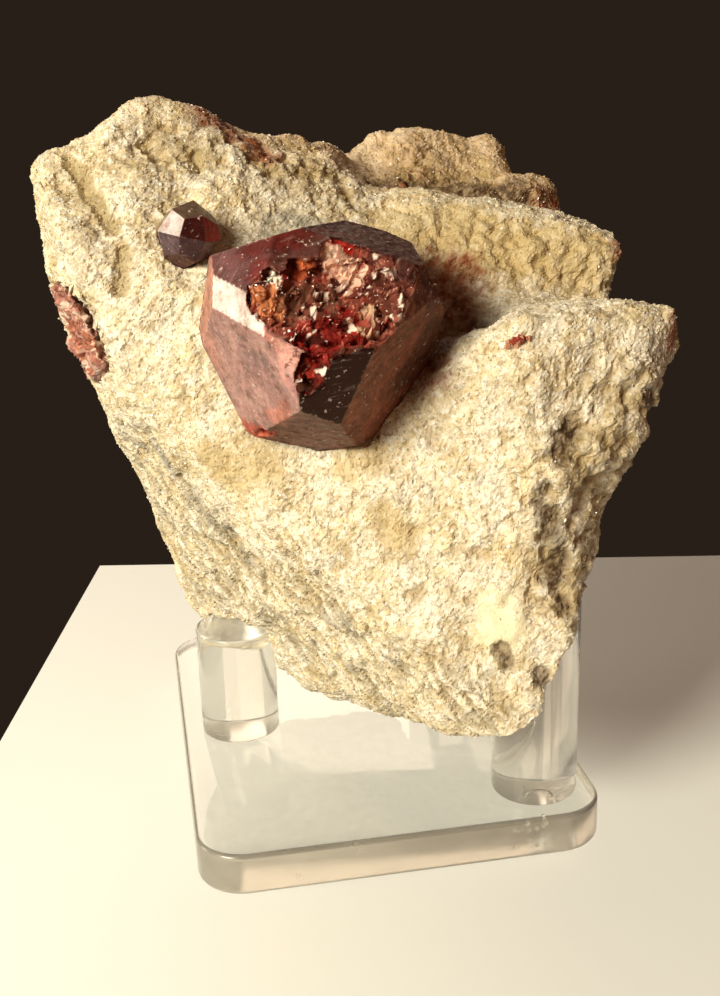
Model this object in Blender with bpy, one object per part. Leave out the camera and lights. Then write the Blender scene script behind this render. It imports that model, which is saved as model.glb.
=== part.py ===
"""Garnet crystals in a block of pale matrix rock, on a clear three-peg display stand.

Metres, +Z up. The origin is the middle of the base plate's underside, +X runs to the
right along the plate's front edge and +Y runs to the back. Lengths in the tables below
are in millimetres and go through mm().
"""
from itertools import permutations, product
from math import cos, pi, radians, sin

import bmesh
import bpy
from mathutils import Euler, Matrix, Vector, noise

MILLIMETRE = 0.001
GAP = 0.3  # clearance between neighbouring pieces

# Stand: a clear acrylic plate with three pegs glued on it
PLATE_WIDTH = 60.0
PLATE_DEPTH = 75.0
PLATE_THICKNESS = 6.35
PLATE_CORNER_RADIUS = 7.0
PLATE_EDGE_ROUNDING = 0.7
PLATE_CORNER_STEPS = 10
PEG_DIAMETER = 12.7
PEG_EDGE_ROUNDING = 0.35
PEG_SIDES = 48
SHORT_PEG_HEIGHT = 18.0
TALL_PEG_HEIGHT = 30.3
SHORT_PEG_PLACE = (-20.5, 0.0)
FRONT_PEG_PLACE = (21.0, -28.5)
BACK_PEG_PLACE = (21.0, 28.5)
PEG_BASE_Z = PLATE_THICKNESS + GAP
SHORT_PEG_TOP_Z = PEG_BASE_Z + SHORT_PEG_HEIGHT
TALL_PEG_TOP_Z = PEG_BASE_Z + TALL_PEG_HEIGHT

# Rock: corner points of the blocks that it broke into, each a convex lump
LOWER_BODY = (
    # left edge, top to bottom
    (-42.5, 2, 75), (-41, 0, 71), (-38.5, -1, 63.5), (-32.4, 0, 53.5), (-30.3, 4, 40.5),
    (-27.8, 6, 33.5), (-26.4, 8, 26), (-25.5, 10, 22),
    # ridge where the left side turns into the front
    (-37, -8, 76), (-35, -8, 66),
    # right edge, top to bottom, and the tip
    (41, -26, 69), (33.2, -33, 61), (30, -35, 54.5), (22.6, -38, 44.5), (21.8, -39.5, 39.5),
    (21.6, -41, 32), (19.5, -41.5, 27.5), (17, -41.5, 22.6), (14.5, -41, 20.2),
    # keel
    (11, -39, 25.6), (8, -35, 22.3), (2, -23, 15.3), (-1.5, -16, 15.3), (-8, -4, 14.3),
    (-11, 2, 12), (-13, 8, 12.5), (-10, 16, 14),
    # top, under the blocks
    (2, -14, 76), (40, -6, 74), (38, 34, 76), (-38, 32, 78),
    # back
    (39, 32, 62), (34, 38, 42), (34, 39, 74), (8, 36, 26), (-8, 39, 70), (-16, 30, 24),
    (-28, 24, 34), (-40, 24, 62),
)
LEFT_SHOULDER = (
    (-47, 6, 97.5), (-46, 4, 88), (-45, 3, 82.5), (-41.5, 0, 72.5),
    (-41.5, -5, 90), (-39, -7, 83), (-37, -8, 76), (-35, -8, 66),
    (-44, 8, 99), (-35, 10, 103), (-31.5, 12, 105.5), (-24, 13, 106), (-21, 13, 105.3),
    (-17, 15, 102.3), (-11, 17, 99), (-4, 20, 97.5), (3.5, 22, 97), (6, 9, 90.6),
    (4, 0, 84), (4, -12, 74), (-2, -17, 70), (-8, -18, 64),
    (-40, 28, 90), (-30, 36, 92), (-5, 38, 93), (5, 34, 93), (5, 34, 70), (-38, 28, 70),
)
FRONT_RIGHT_BLOCK = (
    (11, -26, 74), (18, -30, 79), (30, -29.5, 76.3), (41, -26, 77.3), (42.3, -25, 73.5),
    (41.5, -26, 69), (36.7, -30, 66), (33.2, -33.5, 61), (20, -33.5, 62), (4, -26, 65),
    (9, -12, 75), (19.6, -4, 76.5), (37.5, -4, 73), (39.5, -4, 62), (8, -4, 60),
    (21, -37, 46), (12, -34.5, 44), (19, -30, 42), (-2, -24, 47), (-1, -25, 56),
)
MIDDLE_STEP = (
    (6, 4, 87.5), (7, 8, 90.6), (15, 4, 90.6), (23.5, 3, 89.8), (36, 0, 85.4), (42.2, -3, 84.5),
    (41.6, -4, 79.5), (39.5, -6, 74), (20, -7, 76), (8, -6, 74), (4, 24, 92), (40, 22, 82.5),
    (40, 24, 60), (6, 24, 60),
)
BACK_BLOCK = (
    (36, 18, 90.5), (39, 26, 89.5), (41.2, 26, 86.3), (41, 24, 81.5), (22, 16, 91.5),
    (4, 20, 93), (6, 36, 93), (40, 36, 87), (41, 24, 73), (40, 34, 68), (8, 36, 66),
)
TOP_SLAB = (
    (12, 28, 95.8), (17, 31, 98.6), (23, 32, 98.5), (30.5, 33, 97), (34.5, 34, 94.8),
    (34.5, 33, 90), (14.5, 25, 93.5), (33, 27, 91.5), (2, 30, 92), (8, 39, 96),
    (30, 40, 94), (34, 39, 88), (4, 39, 84),
)
ROCK_BLOCKS = (LOWER_BODY, LEFT_SHOULDER, FRONT_RIGHT_BLOCK, MIDDLE_STEP, BACK_BLOCK, TOP_SLAB)

# Rock: the step broken out of its underside, whose roof rests on the tall pegs
SEAT_DEPTH = 0.6
UNDERSIDE_STEP_LOW = (13.6, -35.6, 0.0)
UNDERSIDE_STEP_HIGH = (60.0, 60.0, TALL_PEG_TOP_Z - SEAT_DEPTH)

# Rock: lumps (+) and hollows (-) as (where, radius, height)
ROCK_RELIEF = (
    ("recess right of the garnet", (12, -14, 76), 7.0, -3.0),
    ("nook above the garnet", (-9, -4, 90), 5.0, -1.6),
    ("quartz lump in the nook", (-4, -5, 90), 2.6, 1.2),
    ("hollow on the left shoulder", (-33, -5, 84), 4.5, -1.5),
    ("groove below the crest", (-37, 0, 93), 4.0, -1.2),
    ("pit below the crest", (-28, 7, 98), 2.8, -1.4),
    ("second pit below the crest", (-21, 6, 97), 2.8, -1.2),
    ("saddle in the crest", (-12, 16, 102), 7.0, -1.4),
    ("crest knob", (-29, 12, 105), 4.0, 1.2),
    ("lump left of the small garnet", (-30, -3, 90), 4.0, 0.9),
    ("lump above the garnet", (-14, 4, 95), 5.0, 1.0),
    ("smooth feldspar lump", (13, -39, 37), 3.4, 1.3),
    ("cavity beside the feldspar lump", (20, -39, 41), 2.8, -1.6),
    ("shelf below the garnet", (0, -27, 56), 6.0, 1.0),
    ("hollow in the lower front", (-6, -20, 38), 6.0, -1.0),
    ("notch in the right edge", (28.5, -36, 50), 3.5, -1.6),
    ("hollow in the lower right edge", (24.5, -38, 43), 4.5, -1.8),
    ("hollow in the left edge", (-33, -1, 56), 5.0, -1.3),
    ("hollow under the tip", (10.5, -39.5, 22), 3.0, -1.2),
)

ROCK_VOXEL = 1.3
ROCK_ROUGHNESS = 1.0
ROCK_TRIANGLES = 5800
BROAD_LUMP_SIZE = 14.0
SMALL_LUMP_SIZE = 6.0
SMALL_LUMP_SHARE = 0.4  # height of the small lumps beside the broad ones

# Garnets: each is a trapezohedron, the form whose 24 faces are the planes {2 1 1}
LARGE_GARNET_CENTRE = (-7.4, -20.0, 75.1)
LARGE_GARNET_SIZE = 15.0  # centre to an evenly grown face
LARGE_GARNET_TILT = (152, 41, 135)
LARGE_GARNET_GROWTH = {  # faces that grew further out (above 1) or less far (below 1)
    (-2, -1, -1): 0.99, (-2, -1, 1): 1.08, (-2, 1, -1): 0.96, (-2, 1, 1): 1.10,
    (-1, -2, -1): 1.16, (-1, -2, 1): 1.04, (-1, -1, -2): 1.12, (-1, -1, 2): 0.82,
    (-1, 1, -2): 0.97, (-1, 2, -1): 1.29, (-1, 2, 1): 1.27, (1, -2, -1): 0.89,
    (1, -2, 1): 0.95, (1, -1, -2): 1.07, (1, 1, 2): 0.69,
}
EDGE_GARNET_VOXEL = 0.7
EDGE_GARNET_ROUGHNESS = 0.5
EDGE_GARNET_TRIANGLES = 360
SMALL_GARNET_CENTRE = (-24.0, -6.0, 88.0)
SMALL_GARNET_SIZE = 4.0
SMALL_GARNET_TILT = (96, 12, 28)
SMALL_GARNET_GROWTH = {(-1, -2, -1): 1.08, (2, 1, 1): 1.1}
EDGE_GARNET = (  # a broken crystal, flush with the rock's left side
    (-45.2, 3.5, 80.5), (-43.8, 1.5, 76), (-41.9, 0, 71), (-40.5, -1, 66.5),
    (-42.3, -4, 82), (-40, -6.8, 78.5), (-38.3, -8.4, 74), (-37.3, -8.4, 69.5),
    (-38, 4, 80), (-36, 2, 70), (-34, -3, 72), (-36, 0, 66),
)
# Broken parts of the large garnet: (which, face bitten into, where, (along, across, deep))
LARGE_GARNET_BITES = (
    ("broken_front", (-2, -1, -1), (-6.5, -33.6, 82.2), (10.4, 8.8, 3.2)),
    ("broken_shoulder", (-1, -1, -2), (-15.8, -32.0, 83.6), (3.4, 4.2, 2.0)),
    ("chipped_edge", (-1, -2, -1), (-11.2, -37.4, 73.5), (2.4, 4.6, 1.7)),
    ("chipped_rim", (1, -2, 1), (-17.2, -24.5, 62.8), (3.2, 1.7, 1.5)),
)
BITE_FINENESS = 4
BITE_TRIANGLES = 440
BITE_LUMP_SIZE = 0.4  # both as shares of the bite's reach
BITE_LUMP_HEIGHT = 0.35


def mm(*values):
    """A point given in millimetres, as a vector in metres."""
    return Vector(values) * MILLIMETRE


def clear_scene():
    for old in list(bpy.data.objects):
        bpy.data.objects.remove(old, do_unlink=True)


def make_material(name, colour, roughness, transmission=0.0, ior=1.5):
    material = bpy.data.materials.new(name)
    material.use_nodes = True
    shader = material.node_tree.nodes["Principled BSDF"]
    shader.inputs["Base Color"].default_value = (*colour, 1.0)
    shader.inputs["Roughness"].default_value = roughness
    shader.inputs["Metallic"].default_value = 0.0
    shader.inputs["Transmission Weight"].default_value = transmission
    shader.inputs["IOR"].default_value = ior
    return material


def make_object(name, shape, material=None):
    """Turn a bmesh into an object in the scene."""
    mesh = bpy.data.meshes.new(name)
    bmesh.ops.recalc_face_normals(shape, faces=shape.faces)
    shape.to_mesh(mesh)
    shape.free()
    piece = bpy.data.objects.new(name, mesh)
    bpy.context.collection.objects.link(piece)
    if material:
        mesh.materials.append(material)
    return piece


def as_cutter(piece):
    piece.hide_render = True
    piece.display_type = "WIRE"
    return piece


def apply_modifiers(piece):
    """Replace the piece's mesh by the one its modifiers make."""
    graph = bpy.context.evaluated_depsgraph_get()
    mesh = bpy.data.meshes.new_from_object(piece.evaluated_get(graph))
    piece.modifiers.clear()
    piece.data = mesh


def add_hull(shape, points):
    """Add the convex lump around the points to a bmesh."""
    corners = [shape.verts.new(mm(*point)) for point in points]
    result = bmesh.ops.convex_hull(shape, input=corners, use_existing_faces=False)
    spare = [item for item in result["geom_interior"] if isinstance(item, bmesh.types.BMVert)]
    bmesh.ops.delete(shape, geom=spare, context="VERTS")


def rounded_rectangle(width, depth, radius, steps):
    """Outline points, anticlockwise, of a rectangle with round corners."""
    outline = []
    for corner, (side_x, side_y) in enumerate(((1, 1), (-1, 1), (-1, -1), (1, -1))):
        centre_x = side_x * (width / 2 - radius)
        centre_y = side_y * (depth / 2 - radius)
        for step in range(steps + 1):
            angle = pi / 2 * (corner + step / steps)
            outline.append((centre_x + radius * cos(angle), centre_y + radius * sin(angle)))
    return outline


def make_plate(material):
    shape = bmesh.new()
    outline = rounded_rectangle(PLATE_WIDTH, PLATE_DEPTH, PLATE_CORNER_RADIUS, PLATE_CORNER_STEPS)
    face = shape.faces.new([shape.verts.new(mm(x, y, 0)) for x, y in outline])
    extruded = bmesh.ops.extrude_face_region(shape, geom=[face])
    raised = [item for item in extruded["geom"] if isinstance(item, bmesh.types.BMVert)]
    bmesh.ops.translate(shape, verts=raised, vec=mm(0, 0, PLATE_THICKNESS))
    plate = make_object("base_plate", shape, material)
    round_edges(plate, PLATE_EDGE_ROUNDING, 2)
    return plate


def make_peg(name, place, height, material):
    shape = bmesh.new()
    bmesh.ops.create_cone(shape, cap_ends=True, segments=PEG_SIDES, radius1=PEG_DIAMETER / 2 * MILLIMETRE,
                          radius2=PEG_DIAMETER / 2 * MILLIMETRE, depth=height * MILLIMETRE)
    peg = make_object(name, shape, material)
    peg.location = mm(*place, PEG_BASE_Z + height / 2)
    round_edges(peg, PEG_EDGE_ROUNDING, 1)
    return peg


def round_edges(piece, width, segments):
    bevel = piece.modifiers.new("rounded edges", "BEVEL")
    bevel.width = width * MILLIMETRE
    bevel.segments = segments
    bevel.limit_method = "ANGLE"
    bevel.angle_limit = radians(40)
    piece.data.shade_smooth()
    piece.data.set_sharp_from_angle(angle=radians(50))


def relief_height(place, roughness):
    """How far a broken surface lies from its flat faces at a place, in mm."""
    broad = noise.fractal(place / BROAD_LUMP_SIZE, 0.7, 2.0, 3)
    small = noise.ridged_multi_fractal(place / SMALL_LUMP_SIZE, 0.9, 2.1, 2, 1.0, 2.0)
    height = roughness * (broad + SMALL_LUMP_SHARE * (small - 1.0))
    for _, centre, radius, rise in ROCK_RELIEF:
        reach = 2 * radius
        distance = (place - Vector(centre)).length
        if distance < reach:
            height += rise * (1 + cos(pi * distance / reach)) / 2
    return height


def make_rock(material, cutters):
    shape = bmesh.new()
    for points in ROCK_BLOCKS:
        add_hull(shape, points)
    rock = make_object("matrix_rock", shape, material)
    fuse(rock, ROCK_VOXEL)
    cut(rock, make_underside_step())
    fuse(rock, ROCK_VOXEL)
    apply_modifiers(rock)
    roughen(rock, ROCK_ROUGHNESS)
    thin_out(rock, ROCK_TRIANGLES)
    for cutter in cutters:
        cut(rock, cutter)
    return rock


def fuse(piece, voxel):
    """Make one closed skin of the piece's overlapping lumps."""
    remesh = piece.modifiers.new("one skin", "REMESH")
    remesh.mode = "VOXEL"
    remesh.voxel_size = voxel * MILLIMETRE
    soften = piece.modifiers.new("worn corners", "SMOOTH")
    soften.factor = 0.5
    soften.iterations = 1


def cut(piece, cutter):
    boolean = piece.modifiers.new("cut " + cutter.name, "BOOLEAN")
    boolean.operation = "DIFFERENCE"
    boolean.object = cutter


def make_underside_step():
    shape = bmesh.new()
    add_hull(shape, product(*zip(UNDERSIDE_STEP_LOW, UNDERSIDE_STEP_HIGH)))
    return as_cutter(make_object("underside_step_cutter", shape))


def roughen(piece, roughness):
    vertices = piece.data.vertices
    heights = [relief_height(vertex.co / MILLIMETRE, roughness) for vertex in vertices]
    moves = [height * MILLIMETRE * vertex.normal for height, vertex in zip(heights, vertices)]
    for vertex, move in zip(vertices, moves):
        vertex.co += move


def keep_largest_body(piece):
    """Drop the loose splinters that cutting leaves behind."""
    shape = bmesh.new()
    shape.from_mesh(piece.data)
    waiting = set(shape.verts)
    bodies = []
    while waiting:
        body = grow_body(waiting.pop())
        waiting -= body
        bodies.append(body)
    bodies.sort(key=len)
    splinters = [vertex for body in bodies[:-1] for vertex in body]
    bmesh.ops.delete(shape, geom=splinters, context="VERTS")
    shape.to_mesh(piece.data)
    shape.free()


def grow_body(seed):
    """All the vertices joined to this one by edges."""
    body = {seed}
    front = [seed]
    while front:
        vertex = front.pop()
        for edge in vertex.link_edges:
            other = edge.other_vert(vertex)
            if other not in body:
                body.add(other)
                front.append(other)
    return body


def thin_out(piece, triangles):
    """Merge the piece's flattest faces until about this many triangles are left."""
    fewer = piece.modifiers.new("fewer faces", "DECIMATE")
    piece.data.calc_loop_triangles()
    fewer.ratio = triangles / len(piece.data.loop_triangles)
    apply_modifiers(piece)


def peg_clearance(name, place, top_z):
    """A cutter a gap larger than a peg."""
    shape = bmesh.new()
    radius = (PEG_DIAMETER / 2 + GAP) * MILLIMETRE
    bmesh.ops.create_cone(shape, cap_ends=True, segments=PEG_SIDES, radius1=radius, radius2=radius,
                          depth=(top_z + GAP) * MILLIMETRE)
    cutter = as_cutter(make_object(name, shape))
    cutter.location = mm(*place, (top_z + GAP) / 2)
    return cutter


def tilt_matrix(tilt):
    return Euler([radians(angle) for angle in tilt]).to_matrix()


def trapezohedron_faces():
    """The 24 face directions of the form {2 1 1}, in a fixed order."""
    orders = sorted(set(permutations((2, 1, 1))))
    return [tuple(size * sign for size, sign in zip(order, signs))
            for order in orders for signs in product((1, -1), repeat=3)]


def make_crystal(name, centre, size, tilt, growth, material=None, spare=0.0):
    """Cut a crystal out of a cube by its face planes; spare moves each plane out, in mm."""
    middle = mm(*centre)
    turn = tilt_matrix(tilt)
    shape = bmesh.new()
    bmesh.ops.create_cube(shape, size=4 * size * MILLIMETRE, matrix=Matrix.Translation(middle))
    for face in trapezohedron_faces():
        outward = turn @ Vector(face).normalized()
        distance = (size * growth.get(face, 1.0) + spare) * MILLIMETRE
        everything = shape.verts[:] + shape.edges[:] + shape.faces[:]
        halves = bmesh.ops.bisect_plane(shape, geom=everything, plane_co=middle + outward * distance,
                                        plane_no=outward, clear_outer=True)
        rim = [item for item in halves["geom_cut"] if isinstance(item, bmesh.types.BMEdge)]
        if rim:
            bmesh.ops.contextual_create(shape, geom=rim)
    return make_object(name, shape, material)


def make_bite(label, outward, where, reach):
    """A lumpy cutter, flattened along the outward direction, that leaves a hackly break."""
    shape = bmesh.new()
    bmesh.ops.create_icosphere(shape, subdivisions=BITE_FINENESS, radius=1.0)
    for vertex in shape.verts:
        lump = noise.fractal(vertex.co / BITE_LUMP_SIZE + Vector(where), 0.6, 2.2, 3)
        vertex.co *= 1 + BITE_LUMP_HEIGHT * lump
        vertex.co = Vector([length * along for length, along in zip(vertex.co, reach)])
    tilt = outward.to_track_quat("Z", "Y").to_matrix().to_4x4()
    place = Matrix.Translation(mm(*where)) @ tilt @ Matrix.Scale(MILLIMETRE, 4)
    bmesh.ops.transform(shape, matrix=place, verts=shape.verts)
    cutter = as_cutter(make_object(label + "_cutter", shape))
    thin_out(cutter, BITE_TRIANGLES)
    return cutter


def make_large_garnet(material):
    garnet = make_crystal("large_garnet", LARGE_GARNET_CENTRE, LARGE_GARNET_SIZE, LARGE_GARNET_TILT,
                          LARGE_GARNET_GROWTH, material)
    for label, face, where, reach in LARGE_GARNET_BITES:
        outward = tilt_matrix(LARGE_GARNET_TILT) @ Vector(face)
        cut(garnet, make_bite(label, outward, where, reach))
    apply_modifiers(garnet)
    keep_largest_body(garnet)


def make_small_garnet(material):
    make_crystal("small_garnet", SMALL_GARNET_CENTRE, SMALL_GARNET_SIZE, SMALL_GARNET_TILT,
                 SMALL_GARNET_GROWTH, material)


def make_edge_garnet(material):
    shape = bmesh.new()
    add_hull(shape, EDGE_GARNET)
    garnet = make_object("edge_garnet", shape, material)
    fuse(garnet, EDGE_GARNET_VOXEL)
    apply_modifiers(garnet)
    roughen(garnet, EDGE_GARNET_ROUGHNESS)
    thin_out(garnet, EDGE_GARNET_TRIANGLES)
    return garnet


def socket_around(piece):
    """A cutter that is the piece's shape with its skin moved out by a gap."""
    shape = bmesh.new()
    shape.from_mesh(piece.data)
    moves = [vertex.normal * vertex.calc_shell_factor() * GAP * MILLIMETRE for vertex in shape.verts]
    for vertex, move in zip(shape.verts, moves):
        vertex.co += move
    return as_cutter(make_object(piece.name + "_socket", shape))


def main():
    clear_scene()
    acrylic = make_material("clear_acrylic", (0.95, 0.96, 0.95), 0.03, transmission=1.0, ior=1.49)
    stone = make_material("pale_matrix", (0.62, 0.54, 0.38), 0.8)
    garnet = make_material("garnet", (0.24, 0.05, 0.05), 0.2)
    make_plate(acrylic)
    make_peg("short_peg", SHORT_PEG_PLACE, SHORT_PEG_HEIGHT, acrylic)
    make_peg("front_tall_peg", FRONT_PEG_PLACE, TALL_PEG_HEIGHT, acrylic)
    make_peg("back_tall_peg", BACK_PEG_PLACE, TALL_PEG_HEIGHT, acrylic)
    make_large_garnet(garnet)
    make_small_garnet(garnet)
    edge_garnet = make_edge_garnet(garnet)
    cutters = [
        peg_clearance("short_peg_clearance", SHORT_PEG_PLACE, SHORT_PEG_TOP_Z),
        peg_clearance("front_peg_clearance", FRONT_PEG_PLACE, TALL_PEG_TOP_Z),
        peg_clearance("back_peg_clearance", BACK_PEG_PLACE, TALL_PEG_TOP_Z),
        as_cutter(make_crystal("large_garnet_socket", LARGE_GARNET_CENTRE, LARGE_GARNET_SIZE,
                               LARGE_GARNET_TILT, LARGE_GARNET_GROWTH, spare=GAP)),
        as_cutter(make_crystal("small_garnet_socket", SMALL_GARNET_CENTRE, SMALL_GARNET_SIZE,
                               SMALL_GARNET_TILT, SMALL_GARNET_GROWTH, spare=GAP)),
        socket_around(edge_garnet),
    ]
    make_rock(stone, cutters)


main()
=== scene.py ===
from itertools import permutations, product
from math import cos, pi, radians, sin

import bmesh
import bpy
import numpy as np
from mathutils import Euler, Matrix, Vector, noise
from mathutils.bvhtree import BVHTree


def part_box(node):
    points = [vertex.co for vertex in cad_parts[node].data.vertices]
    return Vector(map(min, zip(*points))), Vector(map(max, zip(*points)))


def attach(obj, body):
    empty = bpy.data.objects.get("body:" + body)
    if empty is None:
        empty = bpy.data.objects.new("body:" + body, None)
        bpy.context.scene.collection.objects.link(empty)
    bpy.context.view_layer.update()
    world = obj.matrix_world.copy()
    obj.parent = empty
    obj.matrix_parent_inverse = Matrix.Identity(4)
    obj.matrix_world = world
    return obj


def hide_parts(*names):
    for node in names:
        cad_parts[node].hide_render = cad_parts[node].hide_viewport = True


# A garnet specimen on its clear stand. Lengths are in millimetres, in the frame of the
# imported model: the origin is under the middle of the plate, +X right, +Y back, +Z up.
MM = 0.001

# Camera
CAMERA_PLACE = (-33.03, -193.23, 112.0)
CAMERA_PITCH = 18.985  # degrees down
CAMERA_YAW = -9.883
CAMERA_ROLL = -1.636
CAMERA_LENS = 47.03  # on a sensor 36 mm along the long side

# Stage
FLOOR_LEFT, FLOOR_RIGHT = -63.4, 116.0
FLOOR_FRONT, FLOOR_BACK = -116.0, 84.7
FLOOR_THICKNESS = 40.0
FLOOR_TURN = -11.8  # degrees
FLOOR_DROP = 0.15  # the plate stands this far above it, as on paper

# Rock skin
ROCK_VOXEL = 0.42
ROCK_SPLITS = (-12.0, 12.0)  # the skin is kept in three lengths across, each a lighter mesh
GRAIN_JITTER = 0.042
CONTACT_REACH = 1.3  # rock this close to a garnet is drawn onto it
CONTACT_SINK = 0.05  # and goes this far under its skin
FOLIATION = (-0.38, 0.72, -0.58)  # across the layers of the rock

# Relief of the rock's skin: size of a form and how far it stands out
SWELL_SIZE, SWELL_HEIGHT = 9.0, 0.60
BLOCK_SIZE, BLOCK_HEIGHT = 5.5, 0.55
COARSE_FACET_SIZE, COARSE_FACET_HEIGHT = 2.4, 0.24
FINE_FACET_SIZE, FINE_FACET_HEIGHT = 1.1, 0.09
SLAB_SIZE, SLAB_HEIGHT = 15.0, 1.9  # on the back and the right side alone
PIT_SIZE, PIT_DEPTH = 3.4, 0.30
KNOB_SIZE, KNOB_HEIGHT = 2.6, 0.60  # where the rock is stained
LENS_THICKNESS, LENS_LENGTH, LENS_HEIGHT = 1.5, 6.5, 0.30  # where it is layered
LAYER_THICKNESS, LAYER_LENGTH, LAYER_HEIGHT = 3.2, 13.0, 0.35
GROOVE_DEPTH = 0.55
BROWN_DEPTH = 0.80
CREASE_DEPTH = 0.75

# Stains and minerals in the rock: kind, the line that it follows, radius
ROCK_PATCHES = (
    ("rust", ((-19, 12, 104), (-16, 13, 102), (-13, 11, 100), (-11, 9, 98)), 3.0),
    ("rust", ((14, -3, 78), (13, -8, 74), (10, -14, 73)), 6.0),
    ("rust", ((10, -17, 72), (7, -22, 70)), 4.2),
    ("rust", ((11, 14, 91), (13, 16, 92)), 2.2),
    ("rust", ((41, -26, 75), (41, -27, 72)), 2.0),
    ("rust", ((41, -4, 83), (42, -3, 80)), 1.6),
    ("rust", ((37, 19, 88), (39, 22, 86)), 2.6),
    ("rust", ((24, -37, 44), (23, -38, 41)), 1.3),
    # Creases are grooves in the skin, and their colour is darker as painted shade.
    ("crease", ((-40, 7, 98), (-38, 3, 96), (-36, -1, 92), (-34, -4, 89)), 1.2),
    ("crease", ((-29, 7, 99.5), (-28.5, 6.5, 97)), 0.8),
    ("crease", ((-21.5, 6.5, 98), (-21, 6, 96)), 0.8),
    ("crease", ((-33, -6, 86), (-34, -7, 81)), 1.1),
    ("brown", ((24, -33, 63.5), (22, -34, 60)), 1.9),
    ("brown", ((20, -34, 56), (19, -34, 54)), 1.1),
    ("brown", ((20.5, -35, 52), (20.5, -35, 49)), 1.5),
    ("brown", ((22, -36, 46), (21, -36, 43)), 1.7),
    ("brown", ((22, -37, 40), (22, -37, 38)), 1.3),
    ("brown", ((13, -38, 34), (14, -38, 32)), 1.3),
    ("brown", ((36, -30, 66), (37, -28, 62)), 1.6),
    ("brown", ((28, -33, 68), (27.5, -33, 66)), 1.0),
    ("brown", ((18, -40, 31), (19, -40, 29)), 1.2),
    ("brown", ((9, 18, 92), (17, 18, 91), (25, 17, 91), (32, 18, 89)), 3.0),
    ("stained", ((32, -32, 66), (28, -34, 60), (26, -35, 55), (24, -35, 50), (22, -36, 42)), 6.0),
    ("stained", ((38, -24, 64), (33, -30, 56)), 5.0),
    ("stained", ((-28, 7, 99), (-22, 8, 98), (-15, 9, 97), (-8, 8, 95), (0, 7, 92)), 5.0),
    ("stained", ((16, 0, 84), (27, -3, 83), (36, -5, 81)), 6.0),
    ("ochre", ((-23, -16, 58), (-20, -18, 56), (-16, -21, 58)), 3.2),
    ("ochre", ((-5, -25, 58), (-2, -26, 59)), 2.4),
    ("ochre", ((0, -29, 49), (-1, -28, 52), (1, -30, 48)), 2.2),
    ("ochre", ((16, 0, 84), (27, -3, 83), (36, -5, 81), (8, 3, 87)), 5.5),
    ("ochre", ((-29, 3, 38), (-27, 5, 33)), 1.6),
    ("quartz", ((-26, -8, 50), (-24, -9, 48), (-22, -11, 46)), 2.6),
    ("quartz", ((-21, -11, 44), (-19, -12, 40)), 1.3),
    ("quartz", ((-8, -24, 36), (-5, -25, 32)), 1.6),
    ("quartz", ((-1, -29, 30), (1, -30, 28)), 1.0),
    ("quartz", ((-11, 0, 88), (-5, -1, 89)), 3.0),
    ("quartz", ((21, -37, 46), (20, -36, 52)), 1.8),
    ("quartz", ((-31, -6, 58), (-29, -7, 55)), 1.8),
    ("feldspar", ((13, -36.5, 39), (13.5, -36.5, 36.5)), 3.4),
    ("layered", ((-31, -3, 55), (-28, -6, 50), (-24, -8, 46), (-21, -9, 41), (-17, -11, 35),
                 (-13, -12, 29), (-8, -14, 25), (-4, -19, 22), (2, -26, 21)), 8.0),
    ("layered", ((-30, 2, 45), (-28, 4, 38), (-26, 6, 30), (-12, -20, 40), (-5, -24, 33),
                 (4, -32, 28), (10, -36, 25)), 5.5),
)
SHADED_FLANK_X = 22.0  # right of this the front turns back between the two heights
SHADED_FLANK_HEIGHTS = (36.0, 57.0)
SHADED_FLANK_SLOPE = 0.62
PATCH_KINDS = ("rust", "brown", "crease", "ochre", "stained", "quartz", "feldspar", "layered")
PATCH_FRAY = 0.42  # how far noise frays a patch's rim

# Speckles all over the rock: lumps per metre, detail, roughness, noise where the colour starts
# and where it is full, how much of it that is, colour
ROCK_BASE_COLOUR = (0.84, 0.75, 0.60)
ROCK_SPECKLES = (
    (190.0, 4.0, 0.60, 0.40, 0.60, 1.00, (0.80, 0.65, 0.40)),
    (95.0, 5.0, 0.65, 0.48, 0.62, 0.40, (0.54, 0.44, 0.28)),
    (520.0, 4.0, 0.70, 0.48, 0.64, 0.70, (0.50, 0.37, 0.18)),
    (900.0, 4.0, 0.75, 0.50, 0.60, 0.80, (0.90, 0.86, 0.76)),
    (1700.0, 3.0, 0.70, 0.54, 0.66, 0.80, (0.24, 0.17, 0.08)),
)
# Colours of the patches, laid over each other in this order: mask, least and most of the colour,
# the speckle between them (lumps per metre, detail, noise at the least and at the most), colour
PATCH_COLOURS = (
    ("quartz", 0.30, 0.90, (500.0, 4.0, 0.40, 0.55), (0.27, 0.235, 0.18)),
    ("feldspar", 0.75, 0.75, None, (0.80, 0.71, 0.47)),
    # Pits and low ground are darker and browner: painted shade in the hollows.
    ("low", 0.55, 0.55, None, (0.40, 0.28, 0.12)),
    ("layer", 0.65, 0.65, None, (0.24, 0.18, 0.09)),
    ("ochre", 0.70, 0.70, None, (0.50, 0.37, 0.17)),
    ("brown", 0.50, 0.95, (700.0, 3.0, 0.40, 0.58), (0.080, 0.040, 0.013)),
    # Creases are darker: painted shade in them.
    ("crease", 0.60, 0.60, None, (0.34, 0.25, 0.10)),
    ("rust", 0.55, 0.95, (600.0, 3.0, 0.38, 0.60), (0.24, 0.055, 0.014)),
)
STAINED_COLOUR = ("stained", 0.10, 0.80, (300.0, 4.0, 0.42, 0.58), (0.34, 0.24, 0.105))
BACK_TINT = (0.78, 0.62, 0.47)
DARK_SPECK_COLOUR = (0.14, 0.10, 0.06)

# Grains and flakes that stand out of the rock's skin, and how far they keep from the garnets
GRAIN_PIECES = 2
GRAINS_PER_PIECE = 13000
GRAIN_SIZE = (0.22, 0.50)
GRAIN_CLEARANCE = 0.7
MICA_FLAKES = 2200
MICA_SIZE = (0.2, 0.7)
MICA_THICKNESS = 0.06  # times a flake's size
MICA_CLEARANCE = 0.8

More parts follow.
